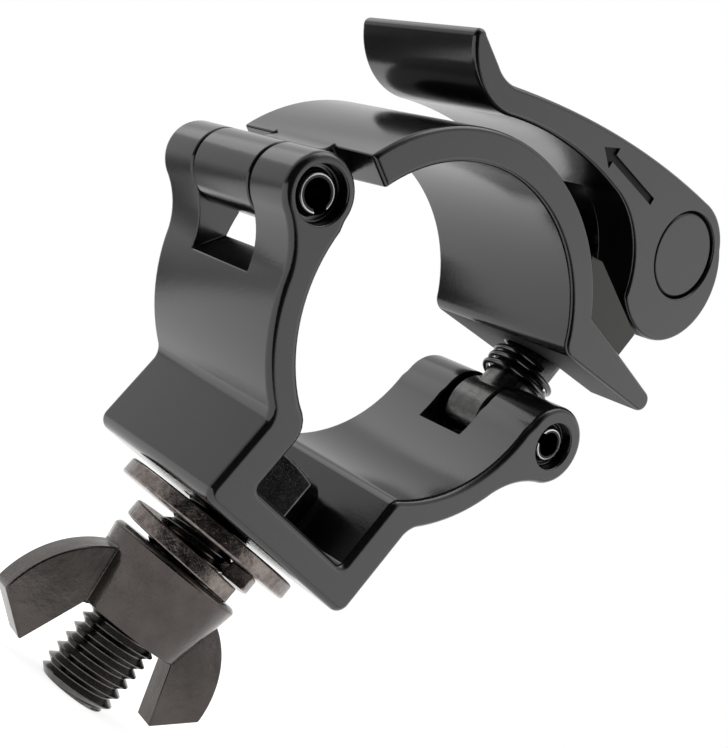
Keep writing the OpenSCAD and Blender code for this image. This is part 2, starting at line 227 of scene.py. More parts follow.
def lamp(name, target, offset, width, height, watts):
    """An area lamp that stands at an offset from the target and looks at it."""
    data = bpy.data.lights.new(name, "AREA")
    data.shape = "RECTANGLE"
    data.size = width
    data.size_y = height
    data.energy = watts
    place = target + Vector(offset)
    lamp_object = bpy.data.objects.new(name, data)
    lamp_object.location = place
    lamp_object.rotation_euler = (target - place).to_track_quat("-Z", "Y").to_euler()
    scene.collection.objects.link(lamp_object)


middle = (cad_low + cad_high) / 2
for name, values in LAMPS.items():
    lamp(name, middle, **values)
print(len(LAMPS), "lamps round a clamp at", [round(c / MM) for c in middle])

# %% [markdown]
# ## Finishes
# Every metal here has specks, faint clouds and fine scratches, each in its own amounts. They could
# be painted as pictures, but noise needs no picture and holds at any size. The grain is therefore one
# shared node group: it takes a place on the piece and gives a tone, a roughness and a height.

# %% Shared group: metal grain
NUMBER = "NodeSocketFloat"
COUNT = "NodeSocketInt"
PLACE = "NodeSocketVector"
METAL = "NodeSocketMaterial"
PER_METRE = 1000
CLOUDS_A_MM, CLOUD_SHARE, CLOUD_DULLS = 0.09, 0.7, 0.5
SCRATCH_TURN, SCRATCH_STRETCH = (0.35, 0.5, 0.8), (9.0, 0.16, 9.0)
SCRATCH_GAIN, SCRATCH_CUT, SCRATCH_SHINE = 9.0, -5.9, 0.6
SPECK_GAIN, SPECK_CUT = 2.4, -0.7


def add_inputs(tree, rows):
    """Gives a tree its named inputs, from rows of name, kind and default."""
    for name, kind, default in rows:
        socket = tree.interface.new_socket(name, in_out="INPUT", socket_type=kind)
        if default is not None:
            socket.default_value = default


grain = bpy.data.node_groups.new("metal_grain", "ShaderNodeTree")
maths = partial(math_node, grain)
add_inputs(grain, [("Vector", PLACE, None), ("Speck size", NUMBER, 0.4), ("Speck amount", NUMBER, 0.5),
                   ("Scratch amount", NUMBER, 0.3)])
for name in ("Tone", "Roughness", "Height"):
    grain.interface.new_socket(name, in_out="OUTPUT", socket_type=NUMBER)
given = add_node(grain, "NodeGroupInput").outputs
in_mm = add_node(grain, "ShaderNodeVectorMath", {0: given["Vector"], "Scale": PER_METRE},
                 operation="SCALE").outputs[0]
speck_scale = maths("DIVIDE", 1.0, given["Speck size"])
specks = add_node(grain, "ShaderNodeTexNoise",
                  {"Vector": in_mm, "Scale": speck_scale, "Detail": 4, "Roughness": 0.6}).outputs[0]
clouds = add_node(grain, "ShaderNodeTexNoise",
                  {"Vector": in_mm, "Scale": CLOUDS_A_MM, "Detail": 3}).outputs[0]
lanes = add_node(grain, "ShaderNodeMapping",
                 {"Vector": in_mm, "Rotation": SCRATCH_TURN, "Scale": SCRATCH_STRETCH}).outputs[0]
streaks = add_node(grain, "ShaderNodeTexNoise", {"Vector": lanes, "Scale": 1.0, "Detail": 1}).outputs[0]
scratched = maths("MULTIPLY_ADD", streaks, SCRATCH_GAIN, SCRATCH_CUT, clamp=True)
scratched = maths("MULTIPLY", scratched, given["Scratch amount"])
specked = maths("MULTIPLY_ADD", specks, SPECK_GAIN, SPECK_CUT, clamp=True)
specked = maths("MULTIPLY", specked, given["Speck amount"])
tone = maths("ADD", maths("MULTIPLY", clouds, CLOUD_SHARE), specked)
tone = maths("ADD", tone, scratched, clamp=True)
dull = maths("ADD", maths("MULTIPLY", clouds, CLOUD_DULLS), specked)
dull = maths("SUBTRACT", dull, maths("MULTIPLY", scratched, SCRATCH_SHINE), clamp=True)
height = maths("SUBTRACT", specked, scratched)
add_node(grain, "NodeGroupOutput", {"Tone": tone, "Roughness": dull, "Height": height})
print("group metal_grain has", len(grain.nodes), "nodes")

# %% [markdown]
# A finish is a Principled shader fed by that grain: the tone picks a colour between a dark and a
# light one, the roughness moves between two values and the height makes a small bump. One function
# builds them all, and hands back its parts so that a special finish can add to them.

# %% Material helper
TONE_DARK, TONE_LIGHT = 0.1, 0.9


def worn_colour(tree, tone, dark, light):
    """A colour that runs from dark to light as the tone of the grain rises."""
    ramp = add_node(tree, "ShaderNodeValToRGB", {0: tone})
    stops = zip(ramp.color_ramp.elements, (TONE_DARK, TONE_LIGHT), (dark, light))
    for stop, position, colour in stops:
        stop.position = position
        stop.color = (*colour, 1)
    return ramp.outputs[0]


def blend_colour(tree, factor, first, second):
    """Goes from the first colour to the second as the factor rises from 0 to 1."""
    node = add_node(tree, "ShaderNodeMix", {0: factor}, data_type="RGBA")
    colours_in = [socket for socket in node.inputs if socket.type == "RGBA"]
    plug(tree, colours_in[0], first)
    plug(tree, colours_in[1], second)
    return next(socket for socket in node.outputs if socket.type == "RGBA")


def metal_finish(name, dark, light, rough, metallic=1.0, specular=0.5, speck=0.4, speck_amount=0.4,
                 scratches=0.3, bump=0.004):
    """A material with the shared grain; rough is two values, and speck and bump are in mm."""
    material = bpy.data.materials.new(name)
    material.use_nodes = True
    tree = material.node_tree
    shader = tree.nodes["Principled BSDF"]
    shader.inputs["Metallic"].default_value = metallic
    shader.inputs["Specular IOR Level"].default_value = specular
    where = add_node(tree, "ShaderNodeTexCoord").outputs
    wear = add_node(tree, "ShaderNodeGroup",
                    {"Vector": where["Object"], "Speck size": speck, "Speck amount": speck_amount,
                     "Scratch amount": scratches}, node_tree=grain).outputs
    colour = worn_colour(tree, wear["Tone"], dark, light)
    dullness = math_node(tree, "MULTIPLY_ADD", wear["Roughness"], rough[1] - rough[0], rough[0])
    bumps = add_node(tree, "ShaderNodeBump",
                     {"Strength": 1.0, "Distance": bump * MM, "Height": wear["Height"]})
    plug(tree, shader.inputs["Base Color"], colour)
    plug(tree, shader.inputs["Roughness"], dullness)
    plug(tree, shader.inputs["Normal"], bumps.outputs[0])
    return SimpleNamespace(material=material, tree=tree, shader=shader, where=where, wear=wear,
                           colour=colour, dullness=dullness, bumps=bumps)


# %% [markdown]
# The body, jaw and lever are cut from long extrusions of aluminium and anodised black. Their round
# surfaces keep faint lines along the extrusion, which runs along Y, and their sawn and milled faces,
# which look along Y, are a little greyer and duller. Two materials could be given out face by face,
# but one material does both here: a mask made from the surface normal tells the two kinds of face
# apart, so it follows the piece when the clamp opens. It is built twice, because the lever and the
# barrel are narrower than the two halves. What looks straight down on the lever's side, such as the
# underside of the jaw's lip, is duller too.

# %% Black anodised aluminium
BLACK_DARK, BLACK_LIGHT = (0.003, 0.003, 0.0031), (0.010, 0.010, 0.0102)
MILLED_DARK, MILLED_LIGHT = (0.022, 0.022, 0.0225), (0.034, 0.034, 0.0345)
SIDEWAYS_GAIN, SIDEWAYS_CUT, MILLED_DULLS = 60.0, -58.6, 0.25
DOWNWARD_GAIN, DOWNWARD_CUT, LIP_DULLS = -10.0, -8.5, 0.5
LIP_FROM = 22 * MM
DRAWN_STRETCH, DRAWN_SHARE = (2600, 30, 2600), 0.25
WIDE_MARGIN, NARROW_MARGIN = 0.3 * MM, 0.08 * MM


def black_coat(name, cut_at):
    """Black anodised aluminium whose cut faces lie further out than cut_at along Y."""
    part = metal_finish(name, BLACK_DARK, BLACK_LIGHT, (0.12, 0.22), metallic=0.0, specular=0.7,
                        speck=0.45, speck_amount=0.4, scratches=0.12, bump=0.011)
    tree = part.tree
    maths = partial(math_node, tree)
    facing = add_node(tree, "ShaderNodeSeparateXYZ", {0: part.where["Normal"]}).outputs
    place = add_node(tree, "ShaderNodeSeparateXYZ", {0: part.where["Object"]}).outputs
    turned = maths("ABSOLUTE", facing["Y"])
    sideways = maths("MULTIPLY_ADD", turned, SIDEWAYS_GAIN, SIDEWAYS_CUT, clamp=True)
    outside = maths("GREATER_THAN", maths("ABSOLUTE", place["Y"]), cut_at)
    milled = maths("MULTIPLY", sideways, outside)
    milled_colour = worn_colour(tree, part.wear["Tone"], MILLED_DARK, MILLED_LIGHT)
    colour = blend_colour(tree, milled, part.colour, milled_colour)
    downward = maths("MULTIPLY_ADD", facing["Z"], DOWNWARD_GAIN, DOWNWARD_CUT, clamp=True)
    under_lip = maths("MULTIPLY", downward, maths("GREATER_THAN", place["X"], LIP_FROM))
    dullness = maths("MULTIPLY_ADD", under_lip, LIP_DULLS, part.dullness)
    dullness = maths("MULTIPLY_ADD", milled, MILLED_DULLS, dullness)
    lines = add_node(tree, "ShaderNodeMapping",
                     {"Vector": part.where["Object"], "Scale": DRAWN_STRETCH}).outputs[0]
    drawn = add_node(tree, "ShaderNodeTexNoise", {"Vector": lines, "Scale": 1.0, "Detail": 2}).outputs[0]
    drawn_height = maths("MULTIPLY", drawn, maths("SUBTRACT", 1.0, milled))
    height = maths("MULTIPLY_ADD", drawn_height, DRAWN_SHARE, part.wear["Height"])
    plug(tree, part.shader.inputs["Base Color"], colour)
    plug(tree, part.shader.inputs["Roughness"], dullness)
    plug(tree, part.bumps.inputs["Height"], height)
    return part.material


wide_coat = black_coat("black_anodised_wide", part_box("clamp_body")[1].y - WIDE_MARGIN)
narrow_coat = black_coat("black_anodised_narrow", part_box("cam_barrel_nut")[1].y - NARROW_MARGIN)
print("two black coats, one for body and jaw and one for the narrower lever and barrel")

# %% [markdown]
# The pad under the cam is a dull olive metal. The bolts are blackened steel, the washers are worn
# bright in patches, the wing nut is cast and cloudy, and the spring is smooth wire. The pressed arrow
# is nearly black and dull: painted shade, which stands for the shade inside its recess. Each one is the
# same function with other values: a larger speck gives patches, and a larger bump gives a casting's
# skin.

# %% Pad, steel and spring finishes
pad_olive = metal_finish("pad_olive", (0.010, 0.010, 0.008), (0.022, 0.022, 0.017), (0.24, 0.4),
                         metallic=0.0, specular=0.35, speck=0.35, speck_amount=0.4, scratches=0.3)
cast_steel = metal_finish("cast_steel", (0.05, 0.044, 0.041), (0.105, 0.093, 0.086), (0.13, 0.22),
                          speck=3.2, speck_amount=0.3, scratches=0.2, bump=0.12)
# Painted shade: the arrow's recess is coloured nearly black and dull to stand for the shade in it.
recess_painted_shade = metal_finish("recess_painted_shade", (0.002, 0.002, 0.002), (0.006, 0.006, 0.006), (0.5, 0.7),
                            metallic=0.0, specular=0.3, speck=0.2, speck_amount=0.6, scratches=0.0,
                            bump=0.02)
dark_steel = metal_finish("dark_steel", (0.05, 0.05, 0.05), (0.155, 0.153, 0.15), (0.20, 0.34),
                          speck=1.6, speck_amount=0.35, scratches=0.3, bump=0.05)
washer_steel = metal_finish("washer_steel", (0.045, 0.038, 0.035), (0.22, 0.19, 0.175), (0.14, 0.30),
                            speck=1.2, speck_amount=0.75, scratches=0.15, bump=0.06)
spring_wire = metal_finish("spring_wire", (0.06, 0.06, 0.061), (0.14, 0.14, 0.14), (0.10, 0.22),
                           speck=0.3, speck_amount=0.3, scratches=0.2, bump=0.004)
thread_steel = metal_finish("thread_steel", (0.06, 0.057, 0.054), (0.16, 0.152, 0.145), (0.16, 0.30),
                            speck=0.5, speck_amount=0.35, scratches=0.1, bump=0.008)
print(len(bpy.data.materials), "materials so far")

# %% [markdown]
# The two roll pins are black too, with a painted highlight: one thin bright line on their rolled ends
# stands for the light that the end catches. It could be a second material on a few faces, but the
# line is finer than the faces are. The distance from the pin's own axis makes the ring instead, so
# each pin has its own copy of the finish.

# %% Roll pins
RING_RADIUS, RING_HALF, RING_GAIN = 2.55, 0.16, 1.6
# Colours of the painted highlight, the thin bright ring on each pin's end.
PAINTED_HIGHLIGHT_DARK, PAINTED_HIGHLIGHT_LIGHT = (0.35, 0.35, 0.34), (0.75, 0.75, 0.73)
ACROSS_PIN = (1, 0, 1)


def middle_of(node):
    """The middle of a CAD node's box."""
    low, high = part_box(node)
    return (low + high) / 2


def pin_finish(name, node):
    """Black steel with a thin painted highlight, a bright ring round the axis of this pin, which lies
    along Y.
    """
    part = metal_finish(name, (0.012, 0.012, 0.012), (0.04, 0.04, 0.04), (0.18, 0.34),
                        speck=0.3, speck_amount=0.4, scratches=0.3, bump=0.006)
    tree = part.tree
    from_axis = add_node(tree, "ShaderNodeVectorMath", {0: part.where["Object"], 1: middle_of(node)},
                         operation="SUBTRACT")
    sideways = add_node(tree, "ShaderNodeVectorMath", {0: from_axis.outputs[0], 1: ACROSS_PIN},
                        operation="MULTIPLY")
    radius = add_node(tree, "ShaderNodeVectorMath", {0: sideways.outputs[0]}, operation="LENGTH")
    off = math_node(tree, "SUBTRACT", radius.outputs["Value"], RING_RADIUS * MM)
    ring = math_node(tree, "MULTIPLY_ADD", math_node(tree, "ABSOLUTE", off),
                     -RING_GAIN / (RING_HALF * MM), RING_GAIN, clamp=True)
    # Painted highlight: the thin ring is coloured bright to stand for light caught on the pin's end.
    painted_highlight = worn_colour(tree, part.wear["Tone"], PAINTED_HIGHLIGHT_DARK, PAINTED_HIGHLIGHT_LIGHT)
    plug(tree, part.shader.inputs["Base Color"], blend_colour(tree, ring, part.colour, painted_highlight))
    return part.material


hinge_pin_steel = pin_finish("hinge_pin_steel", "hinge_pin")
swing_pin_steel = pin_finish("swing_pin_steel", "swing_bolt_pin")
print("bright rings of", RING_RADIUS, "mm on both pins")

# %% [markdown]
# ## Rounded edges
# No cast or machined edge is a knife edge. A copy of each CAD solid gets its doubles merged, its
# flat triangles joined into whole faces, and a small bevel where two faces meet at a corner. The
# solids could carry these edges themselves, but hundreds of tiny faces would slow the CAD down.
# The bevel catches the light as a thin line, which is what makes an edge look real.

# %% Copies of the solids
WELD, SLIVER = 0.002 * MM, 0.001 * MM
ALMOST_FLAT = math.radians(0.5)


def weld(shape):
    """Merges the points that lie on each other, and the faces that have no area."""
    bmesh.ops.remove_doubles(shape, verts=shape.verts, dist=WELD)
    bmesh.ops.dissolve_degenerate(shape, dist=SLIVER, edges=shape.edges)


def merged_copy(node):
    """The node's surface as a clean bmesh: doubles merged and flat faces joined."""
    shape = bmesh.new()
    shape.from_mesh(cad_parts[node].data)
    weld(shape)
    bmesh.ops.dissolve_limit(shape, angle_limit=ALMOST_FLAT, verts=shape.verts, edges=shape.edges)
    return shape


def new_piece(name, shape, material):
    """An object in the scene, made of a bmesh, with one material."""
    mesh = bpy.data.meshes.new(name)
    shape.to_mesh(mesh)
    shape.free()
    mesh.materials.append(material)
    piece = bpy.data.objects.new(name, mesh)
    scene.collection.objects.link(piece)
    return piece


def settle(piece, body, slot, *nodes):
    """Puts a finished piece on its body and hides the solids that it stands for; slot is not used."""
    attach(piece, body)
    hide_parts(*nodes)
    print(piece.name, len(piece.data.polygons), "faces")


# %% [markdown]
# The bevel is a modifier with a weight on each edge, so that one piece can have narrow and wide
# edges. The same step cuts a recess into the lever with a Boolean, when there is one, and ends by
# turning the modifiers into a plain mesh with even normals.

# %% Soft edges
SHARP, SHARP_AFTER_BEVEL = math.radians(35), math.radians(60)
BEVEL_SEGMENTS = 3


def shade(mesh, angle=SHARP):
    """Smooth shading, apart from edges sharper than the angle."""
    for face in mesh.polygons:
        face.use_smooth = True
    mesh.set_sharp_from_angle(angle=angle)


def applied(piece):
    """Runs the piece's modifiers and keeps the result as its mesh."""
    bpy.context.view_layer.update()
    now = piece.evaluated_get(bpy.context.evaluated_depsgraph_get())
    done = bpy.data.meshes.new_from_object(now)
    piece.modifiers.clear()
    piece.data = done


def near(edge, x, z, reach):
    """True where the middle of an edge is within reach of a line along Y at x, z (all in mm)."""
    middle = (edge.verts[0].co + edge.verts[1].co) / 2
    return math.hypot(middle.x - x * MM, middle.z - z * MM) < reach * MM


def weigh_edges(shape, width, widest, spots, hollows):
    """Marks the sharp edges for the bevel; without hollows, only those that point outwards."""
    weight = shape.edges.layers.float.new("bevel_weight_edge")
    for edge in shape.edges:
        if len(edge.link_faces) != 2 or edge.calc_face_angle(0) < SHARP:
            continue
        if not hollows and not edge.is_convex:
            continue
        own = [spot[3] for spot in spots if near(edge, *spot[:3])]
        edge[weight] = (own[0] if own else width) / widest


def soften(piece, width, spots=(), cutter=None, hollows=True):
    """Bevels the sharp edges; a spot is x, z, a reach and the width for the edges near it."""
    widest = max([width] + [spot[3] for spot in spots])
    shape = bmesh.new()
    shape.from_mesh(piece.data)
    weigh_edges(shape, width, widest, spots, hollows)
    shape.to_mesh(piece.data)
    shape.free()
    bevel = piece.modifiers.new("rounded_edges", "BEVEL")
    bevel.width = widest * MM
    bevel.segments = BEVEL_SEGMENTS
    bevel.limit_method = "WEIGHT"
    bevel.use_clamp_overlap = False
    if cutter:
        cut = piece.modifiers.new("recess", "BOOLEAN")
        cut.operation = "DIFFERENCE"
        cut.solver = "EXACT"
        cut.object = cutter
        cut.material_mode = "TRANSFER"
    even = piece.modifiers.new("even_normals", "WEIGHTED_NORMAL")
    even.mode = "FACE_AREA"
    even.keep_sharp = True
    shade(piece.data, SHARP_AFTER_BEVEL)
    applied(piece)
    if cutter:
        bpy.data.objects.remove(cutter)


def softened(node, name, width, body, slot, material, shape=None, spots=(), cutter=None):
    """A whole solid, or its reworked shape, with soft edges of this width in mm."""
    piece = new_piece(name, shape or merged_copy(node), material)
    soften(piece, width, spots, cutter)
    settle(piece, body, slot, node)


# %% [markdown]
# The body, jaw and lever have a larger radius round the outline of their two side faces. A wide
# bevel would tangle where the outline has short edges, so the side faces are inset in small steps
# instead, and each ring of points is set back a little further, on a quarter circle.

# %% Rounded outlines
ROUND_STEPS = 4
SHORTEST_EDGE, SIDE_FACING, SIDE_WITHIN = 0.13 * MM, 0.99, 0.02 * MM


def rim_of(faces):
    """The points on the border of a group of faces."""
    inside = set(faces)
    border = {e for f in faces for e in f.edges if sum(g in inside for g in e.link_faces) == 1}
    return {vert for edge in border for vert in edge.verts}


def cap_hole(shape, faces, x, z, reach):
    """Closes a round hole in the side faces for a while, so that its rim isn't rounded."""
    ring = [v for v in rim_of(faces) if math.hypot(v.co.x - x * MM, v.co.z - z * MM) < reach * MM]
    ring.sort(key=lambda v: math.atan2(v.co.z - z * MM, v.co.x - x * MM))
    return shape.faces.new(ring)


def round_outline(shape, at, width, holes=()):
    """Rounds the faces that look along Y at plus and minus `at`; a hole is x, z and a reach in mm."""
    bmesh.ops.remove_doubles(shape, verts=shape.verts, dist=SHORTEST_EDGE)
    for side in (-1, 1):
        faces = [f for f in shape.faces if f.normal.y * side > SIDE_FACING
                 and abs(f.calc_center_median().y - side * at) < SIDE_WITHIN]
        caps = [cap_hole(shape, faces, *hole) for hole in holes]
        faces += caps
        rings = []
        for step in range(ROUND_STEPS):
            before = math.cos(math.pi / 2 * step / ROUND_STEPS)
            after = math.cos(math.pi / 2 * (step + 1) / ROUND_STEPS)
            inwards = width * (before - after) * MM
            inset = bmesh.ops.inset_region(shape, faces=faces, thickness=inwards,
                                           use_even_offset=True, use_boundary=True)
            strip = {vert for face in inset["faces"] for vert in face.verts}
            rings.append(strip - rim_of(faces))
        rings.append(rim_of(faces))
        for step, ring in enumerate(rings):
            back = width * (1 - math.sin(math.pi / 2 * step / ROUND_STEPS)) * MM
            for vert in ring:
                vert.co.y = side * (at - back)
        bmesh.ops.delete(shape, geom=caps, context="FACES_ONLY")
    print("rounded outline:", len(rings), "rings of", len(rings[0]), "points")


# %% [markdown]
# Where the bore meets the walls of the foot's channel, and where it meets the underside of the
# jaw's lip, the edge along Y is rounder than the others. The bore is made of narrow strips, so those
# beside the edge are dissolved first, and then the edge is beveled by itself. Three tiny steps in
# the two profiles, where the bore ends beside a pin, are closed as well, because a rounded outline
# would show them as notches.

# %% Lengthwise edges and small steps
LENGTHWAYS, ON_LINE, BESIDE = 5 * MM, 0.4, 1.15
ALONG_SEGMENTS, ROUND_PROFILE = 4, 0.5
STEP_REACH = 0.15 * MM


def edges_along(shape, x, z, reach):
    """The edges that run along Y within reach of x, z."""
    found = [e for e in shape.edges if near(e, x, z, reach)]
    return [e for e in found if abs(e.verts[0].co.y - e.verts[1].co.y) > LENGTHWAYS]


def round_along(shape, x, z, width):
    """Rounds the edge that runs along Y at x, z, once the edges close beside it are out of the way."""
    close = [e for e in edges_along(shape, x, z, BESIDE * width) if not near(e, x, z, ON_LINE)]
    bmesh.ops.dissolve_edges(shape, edges=close, use_verts=True)
    bmesh.ops.bevel(shape, geom=edges_along(shape, x, z, ON_LINE), offset=width * MM,
                    offset_type="OFFSET", segments=ALONG_SEGMENTS, profile=ROUND_PROFILE,
                    affect="EDGES", clamp_overlap=False)


def join_step(shape, old, new):
    """Moves a row of points onto the row beside it, so that a small step becomes a bend."""
    def gap(vert, place):
        return math.hypot(vert.co.x - place[0] * MM, vert.co.z - place[1] * MM)

    goal = min(shape.verts, key=lambda vert: gap(vert, new)).co.copy()
    for vert in shape.verts:
        if gap(vert, old) < STEP_REACH:
            vert.co.x = goal.x
            vert.co.z = goal.z
    weld(shape)


# %% [markdown]
# ## Body and jaw
# Both halves are made by the same functions. Places are x and z in millimetres. The pins say where
# the hinge and the swing bolt turn, and the edges round their holes have widths of their own.

# %% The lower half
HINGE_STEP, HINGE_STEP_GOAL = (-25.2, -1.3), (-25.6, -1.3)
SWING_STEP, SWING_STEP_GOAL = (25.1, 2.4), (25.5, 2.5)
CHANNEL_LEFT, CHANNEL_RIGHT = (-8.5, -23.8), (12.5, -21.9)
LEFT_ROUND, RIGHT_ROUND = 2.4, 1.0
BODY_ROUND, BODY_EDGE = 1.1, 0.2
PIN_HOLE, LUG_RIM, LUG_EDGE = 4.2, 4.8, 6.2
RIM_WIDTH, LUG_WIDTH = 0.3, 0.5


def axis_of(node):
    """The x and z, in millimetres, of a round piece that lies along Y."""
    middle = middle_of(node)
    return middle.x / MM, middle.z / MM


HINGE, SWING = axis_of("hinge_pin"), axis_of("swing_bolt_pin")
half_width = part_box("clamp_body")[1].y
body_shape = merged_copy("clamp_body")
join_step(body_shape, HINGE_STEP, HINGE_STEP_GOAL)
join_step(body_shape, SWING_STEP, SWING_STEP_GOAL)
round_along(body_shape, *CHANNEL_LEFT, LEFT_ROUND)
round_along(body_shape, *CHANNEL_RIGHT, RIGHT_ROUND)
round_outline(body_shape, half_width, BODY_ROUND, [(*HINGE, PIN_HOLE), (*SWING, PIN_HOLE)])
softened("clamp_body", "body_casting", BODY_EDGE, "body", "black_coat", wide_coat, body_shape,
         [(*HINGE, LUG_RIM, RIM_WIDTH), (*SWING, LUG_RIM, RIM_WIDTH), (*HINGE, LUG_EDGE, LUG_WIDTH)])

# %% [markdown]
# The jaw is the other half of the same extrusion. Its outline is a little sharper than the body's,
# and its lip is where the hand and the swing bolt take hold.

# %% The upper jaw
JAW_STEP, JAW_STEP_GOAL = (-25.2, -1.8), (-25.7, -1.8)
LIP_CORNER, LIP_ROUND = (20.9, 14.1), 1.6
JAW_ROUND, JAW_EDGE = 0.8, 0.3
KNUCKLE_RIM, KNUCKLE_WIDTH = 4.0, 0.2

jaw_shape = merged_copy("upper_jaw")
join_step(jaw_shape, JAW_STEP, JAW_STEP_GOAL)
round_along(jaw_shape, *LIP_CORNER, LIP_ROUND)
round_outline(jaw_shape, half_width, JAW_ROUND)
softened("upper_jaw", "jaw_casting", JAW_EDGE, "jaw", "black_coat", wide_coat, jaw_shape,
         [(*HINGE, KNUCKLE_RIM, KNUCKLE_WIDTH)])

# %% [markdown]
# The smaller solids need only soft edges. The rows below are the solid, the new piece, the width of
# its edges in millimetres, the body it rides on, its slot and its finish.

# %% Smaller solids
SMALL_SOLIDS = [
    ("pressure_pad", "cam_pad", 0.35, "jaw", "pad_metal", pad_olive.material),
    ("cam_barrel_nut", "cam_barrel", 0.25, "swing", "bolt_steel", narrow_coat),
    ("flat_washer", "plain_washer", 0.35, "washers", "bolt_steel", washer_steel.material),
    ("spring_washer", "split_washer", 0.3, "washers", "bolt_steel", washer_steel.material),
    ("wing_nut", "butterfly_nut", 0.3, "nut", "bolt_steel", cast_steel.material),
    ("hinge_pin", "hinge_roll_pin", 0.15, "body", "pin_steel", hinge_pin_steel),
    ("swing_bolt_pin", "swing_roll_pin", 0.15, "body", "pin_steel", swing_pin_steel)]
for row in SMALL_SOLIDS:
    softened(*row)

# %% [markdown]
# ## The lever
# The lever's side has a shallow arrow pressed into it, which shows which way it closes. A dark
# picture of an arrow would look painted on, so the arrow is a block pushed a little way through the
# face and cut out with a Boolean. The faces that the cut leaves take the block's finish, a painted
# shade that darkens the recess.

# %% The lever and its arrow
LEVER_ROUND, LEVER_EDGE = 0.8, 0.25
BARREL_HOLE = 8.2
ARROW = dict(start=(18.0, 44.4), tip=(2.5, 41.3), shaft=1.3, head=3.2, depth=0.45)
BARB = 0.6
BEFORE_FACE = 1


def arrow_cutter(face_y, start, tip, shaft, head, depth):
    """A closed arrow-shaped block that reaches depth under the face at face_y, all in mm."""
    tail, point = Vector(start), Vector(tip)
    along = (point - tail).normalized()
    side = Vector((-along.y, along.x))
    neck = point - along * head
    thick, wide = side * shaft / 2, side * head * BARB
    outline = [tail + thick, neck + thick, neck + wide, point, neck - wide, neck - thick, tail - thick]
    shape = bmesh.new()
    outer, inner = [[shape.verts.new((p.x * MM, y * MM, p.y * MM)) for p in outline]
                    for y in (face_y - BEFORE_FACE, face_y + depth)]
    shape.faces.new(outer)
    shape.faces.new(inner)
    for i in range(len(outline)):
        j = (i + 1) % len(outline)
        shape.faces.new((outer[i], outer[j], inner[j], inner[i]))
    bmesh.ops.recalc_face_normals(shape, faces=shape.faces)
    # The block carries the painted shade that the recess's faces take.
    return new_piece("arrow_cutter", shape, recess_painted_shade.material)


lever_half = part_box("cam_lever")[1].y
lever_shape = merged_copy("cam_lever")
round_outline(lever_shape, lever_half, LEVER_ROUND, [(*axis_of("cam_barrel_nut"), BARREL_HOLE)])
softened("cam_lever", "lever_casting", LEVER_EDGE, "lever", "black_coat", narrow_coat, lever_shape,
         cutter=arrow_cutter(-lever_half / MM, **ARROW))

# %% [markdown]
# ## Threads
# A thread is a rule: the radius of a rod goes up and down once a turn while it climbs one pitch.
# Geometry Nodes can apply that rule to a plain grid. The grid's width becomes the angle, its
# length becomes the climb, and each row of the grid rises by one pitch as it goes round, so that a
# row lies on the crest all the way. Level rows would be simpler, but would break the crest into
# dashes. Rows past either end fall together there, and the outermost ones shrink to a point, which
# closes the rod. First come four helpers, which the spring uses too.

# %% Geometry Nodes: helpers
def shape_tree(name, rows):
    """A tree with one geometry output and named inputs; returns it with its input sockets."""
    tree = bpy.data.node_groups.new(name, "GeometryNodeTree")
    tree.interface.new_socket("Geometry", in_out="OUTPUT", socket_type="NodeSocketGeometry")
    add_inputs(tree, rows + [("Metal", METAL, None)])
    return tree, add_node(tree, "NodeGroupInput").outputs


def close_tree(tree, shape, metal):
    """Ends a tree in Realize Instances and Set Material."""
    whole = add_node(tree, "GeometryNodeRealizeInstances", {0: shape})
    painted = add_node(tree, "GeometryNodeSetMaterial", {0: whole.outputs[0], "Material": metal})
    add_node(tree, "NodeGroupOutput", {0: painted.outputs[0]})
    return tree


def round_axis(tree, radius, angle, z):
    """The place at a radius and an angle round the Z axis, at height z."""
    x = math_node(tree, "MULTIPLY", radius, math_node(tree, "COSINE", angle))
    y = math_node(tree, "MULTIPLY", radius, math_node(tree, "SINE", angle))
    return add_node(tree, "ShaderNodeCombineXYZ", {0: x, 1: y, 2: z}).outputs[0]


def grown(name, tree, values):
    """A piece made by a Geometry Nodes tree with these values, as a plain mesh."""
    piece = bpy.data.objects.new(name, bpy.data.meshes.new(name))
    scene.collection.objects.link(piece)
    modifier = piece.modifiers.new("nodes", "NODES")
    modifier.node_group = tree
    for socket in tree.interface.items_tree:
        if socket.in_out == "INPUT" and socket.name in values:
            modifier[socket.identifier] = values[socket.name]
    applied(piece)
    shape = bmesh.new()
    shape.from_mesh(piece.data)
    bmesh.ops.recalc_face_normals(shape, faces=shape.faces)
    shape.to_mesh(piece.data)
    shape.free()
    shade(piece.data)
    return piece


# %% [markdown]
# The tree itself follows the rule from top to bottom: a share of the way round and along, the height
# on the helix, the phase within one turn, the depth of the groove there, and then the place. A
# Screw modifier could sweep a thread's profile too, but its ends would need closing by hand.

# %% Geometry Nodes: a threaded rod
ROWS_A_TURN, END_ROWS = 12, 3
STEPS_ROUND = 72
USUAL_TURNS, USUAL_PITCH = 18, 1.75 * MM
HALF_ROW = 0.5 / ROWS_A_TURN
STAY_POSITIVE = 8.0
GROOVE_GAIN, GROOVE_CUT = 1.25, -0.12


